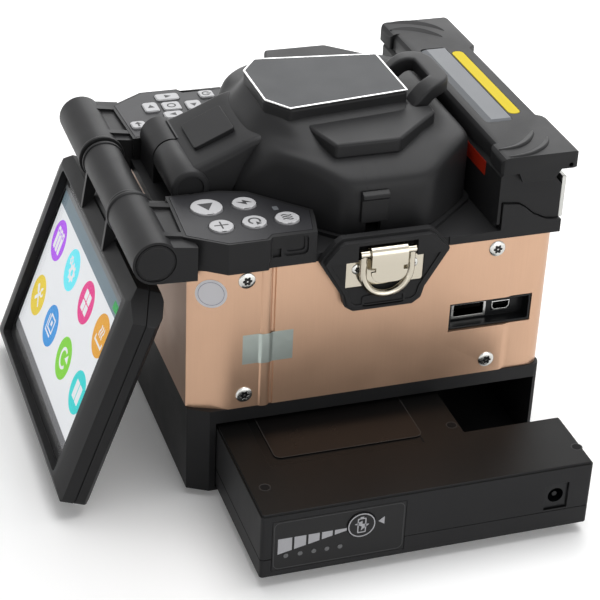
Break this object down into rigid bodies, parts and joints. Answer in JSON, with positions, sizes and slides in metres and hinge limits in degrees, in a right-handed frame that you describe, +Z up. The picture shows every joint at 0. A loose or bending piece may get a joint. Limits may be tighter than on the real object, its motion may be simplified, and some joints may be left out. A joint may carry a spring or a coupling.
{
  "type": "fiber fusion splicer",
  "caption": "Portable fiber fusion splicer: metal-sided body with tilting monitor, opening hood over a splice stage, lidded sleeve heater, strap rings and a sliding battery.",
  "frame": {"origin": "on the underside of the moulded base, midway between its two flat sides and below the strap rings; the rubber feet reach 3 mm lower", "axes": "+X to the side that the battery slides out of, -Y to the operator and the monitor, +Y to the sleeve heater, +Z up"},
  "size_m": [0.1969, 0.2026, 0.1455],
  "materials": {
    "base": "black fine-grain ABS",
    "foot": "black rubber",
    "copper": "copper-coloured anodised sheet, satin",
    "steel": "nickel-plated steel",
    "black": "dark grey fine-grain ABS",
    "inlay": "dark grey printed film",
    "key": "pale grey keys",
    "nickel": "polished nickel",
    "port": "black plastic",
    "stage": "bead-blasted aluminium",
    "ceramic": "white zirconia",
    "lens": "dark lens barrel",
    "plate": "plain aluminium",
    "lcd": "lit display panel",
    "glass": "clear cover glass",
    "plaque": "dark satin plate",
    "chrome": "bright rim",
    "window": "smoked grey window",
    "yellow": "plain yellow strip",
    "battery": "black ABS",
    "panel": "dark printed panel"
  },
  "bodies": {
    "main_body": {"base_tray": "base", "rubber_feet": "foot", "metal_case": "copper", "case_screws": "steel", "top_frame": "black", "hinge_caps": "black", "hinge_pins": "steel", "right_inlay": "inlay", "left_inlay": "inlay", "strap_bracket_right": "black", "strap_bracket_left": "black", "strap_plates": "nickel", "port_bezel": "port", "usb_port": "steel", "mini_port": "steel", "stage_tub": "black", "stage_plate": "stage", "v_groove_blocks": "ceramic", "electrodes": "steel", "electrode_holders": "port", "objective_lenses": "lens", "clamp_bases": "stage", "heater_body": "black", "heater_trough": "plate", "heater_rear_plate": "plate"},
    "monitor": {"monitor_frame": "black", "monitor_back": "black", "lcd_panel": "lcd", "cover_glass": "glass"},
    "hood": {"hood_shell": "black", "hood_plate": "black", "plaque": "plaque", "plaque_rim": "chrome", "side_clips": "black", "fibre_pressers": "ceramic"},
    "heater_cover": {"heater_lid": "black", "heater_window": "window", "heater_strip": "yellow"},
    "battery": {"battery_lower": "battery", "battery_upper": "battery", "battery_panel": "panel", "dc_jack": "port"},
    "check_key": {"check_button": "panel"},
    "ring_right": {"d_ring_right": "nickel"},
    "ring_left": {"d_ring_left": "nickel"},
    "clamp_right": {"clamp_lid_right": "stage"},
    "clamp_left": {"clamp_lid_left": "stage"},
    "press_set": {"key_set": "key"},
    "press_cross": {"key_cross": "key"},
    "press_arc": {"key_arc": "key"},
    "press_reset": {"key_reset": "key"},
    "press_heat": {"key_heat": "key"},
    "press_pad_up": {"pad_up": "key"},
    "press_pad_down": {"pad_down": "key"},
    "press_pad_left": {"pad_left": "key"},
    "press_pad_right": {"pad_right": "key"},
    "press_pad_ok": {"pad_ok": "key"},
    "press_menu": {"key_menu": "key"},
    "press_back": {"key_back": "key"},
    "press_power": {"key_power": "key"}
  },
  "joints": [
    {"name": "monitor_tilt", "type": "hinge", "parent": "main_body", "child": "monitor", "pos_m": [0, -0.0869, 0.1049], "axis": [-1, 0, 0], "range_deg": [-20, 75]},
    {"name": "hood_open", "type": "hinge", "parent": "main_body", "child": "hood", "pos_m": [0, -0.0635, 0.1125], "axis": [1, 0, 0], "range_deg": [0, 85]},
    {"name": "heater_lid_open", "type": "hinge", "parent": "main_body", "child": "heater_cover", "pos_m": [0, 0.0728, 0.1286], "axis": [-1, 0, 0], "range_deg": [0, 95]},
    {"name": "battery_slide", "type": "slide", "parent": "main_body", "child": "battery", "axis": [1, 0, 0], "range_m": [-0.0585, 0.015]},
    {"name": "check_press", "type": "slide", "parent": "battery", "child": "check_key", "axis": [-1, 0, 0], "range_m": [0, 0.0005], "stiffness_N_per_m": 800},
    {"name": "ring_swing_right", "type": "hinge", "parent": "main_body", "child": "ring_right", "pos_m": [0.0699, 0.0005, 0.1014], "axis": [0, -1, 0], "range_deg": [0, 100]},
    {"name": "ring_swing_left", "type": "hinge", "parent": "main_body", "child": "ring_left", "pos_m": [-0.0699, 0.0005, 0.1014], "axis": [0, 1, 0], "range_deg": [0, 100]},
    {"name": "clamp_open_right", "type": "hinge", "parent": "main_body", "child": "clamp_right", "pos_m": [0.026, 0.0071, 0.1082], "axis": [-1, 0, 0], "range_deg": [0, 50]},
    {"name": "clamp_open_left", "type": "hinge", "parent": "main_body", "child": "clamp_left", "pos_m": [-0.026, 0.0071, 0.1082], "axis": [-1, 0, 0], "range_deg": [0, 50]},
    {"name": "press_set_travel", "type": "slide", "parent": "main_body", "child": "press_set", "axis": [0, 0, -1], "range_m": [0, 0.0008], "stiffness_N_per_m": 600},
    {"name": "press_cross_travel", "type": "slide", "parent": "main_body", "child": "press_cross", "axis": [0, 0, -1], "range_m": [0, 0.0008], "stiffness_N_per_m": 600},
    {"name": "press_arc_travel", "type": "slide", "parent": "main_body", "child": "press_arc", "axis": [0, 0, -1], "range_m": [0, 0.0008], "stiffness_N_per_m": 600},
    {"name": "press_reset_travel", "type": "slide", "parent": "main_body", "child": "press_reset", "axis": [0, 0, -1], "range_m": [0, 0.0008], "stiffness_N_per_m": 600},
    {"name": "press_heat_travel", "type": "slide", "parent": "main_body", "child": "press_heat", "axis": [0, 0, -1], "range_m": [0, 0.0008], "stiffness_N_per_m": 600},
    {"name": "press_pad_up_travel", "type": "slide", "parent": "main_body", "child": "press_pad_up", "axis": [0, 0, -1], "range_m": [0, 0.0008], "stiffness_N_per_m": 600},
    {"name": "press_pad_down_travel", "type": "slide", "parent": "main_body", "child": "press_pad_down", "axis": [0, 0, -1], "range_m": [0, 0.0008], "stiffness_N_per_m": 600},
    {"name": "press_pad_left_travel", "type": "slide", "parent": "main_body", "child": "press_pad_left", "axis": [0, 0, -1], "range_m": [0, 0.0008], "stiffness_N_per_m": 600},
    {"name": "press_pad_right_travel", "type": "slide", "parent": "main_body", "child": "press_pad_right", "axis": [0, 0, -1], "range_m": [0, 0.0008], "stiffness_N_per_m": 600},
    {"name": "press_pad_ok_travel", "type": "slide", "parent": "main_body", "child": "press_pad_ok", "axis": [0, 0, -1], "range_m": [0, 0.0008], "stiffness_N_per_m": 600},
    {"name": "press_menu_travel", "type": "slide", "parent": "main_body", "child": "press_menu", "axis": [0, 0, -1], "range_m": [0, 0.0008], "stiffness_N_per_m": 600},
    {"name": "press_back_travel", "type": "slide", "parent": "main_body", "child": "press_back", "axis": [0, 0, -1], "range_m": [0, 0.0008], "stiffness_N_per_m": 600},
    {"name": "press_power_travel", "type": "slide", "parent": "main_body", "child": "press_power", "axis": [0, 0, -1], "range_m": [0, 0.0008], "stiffness_N_per_m": 600}
  ]
}
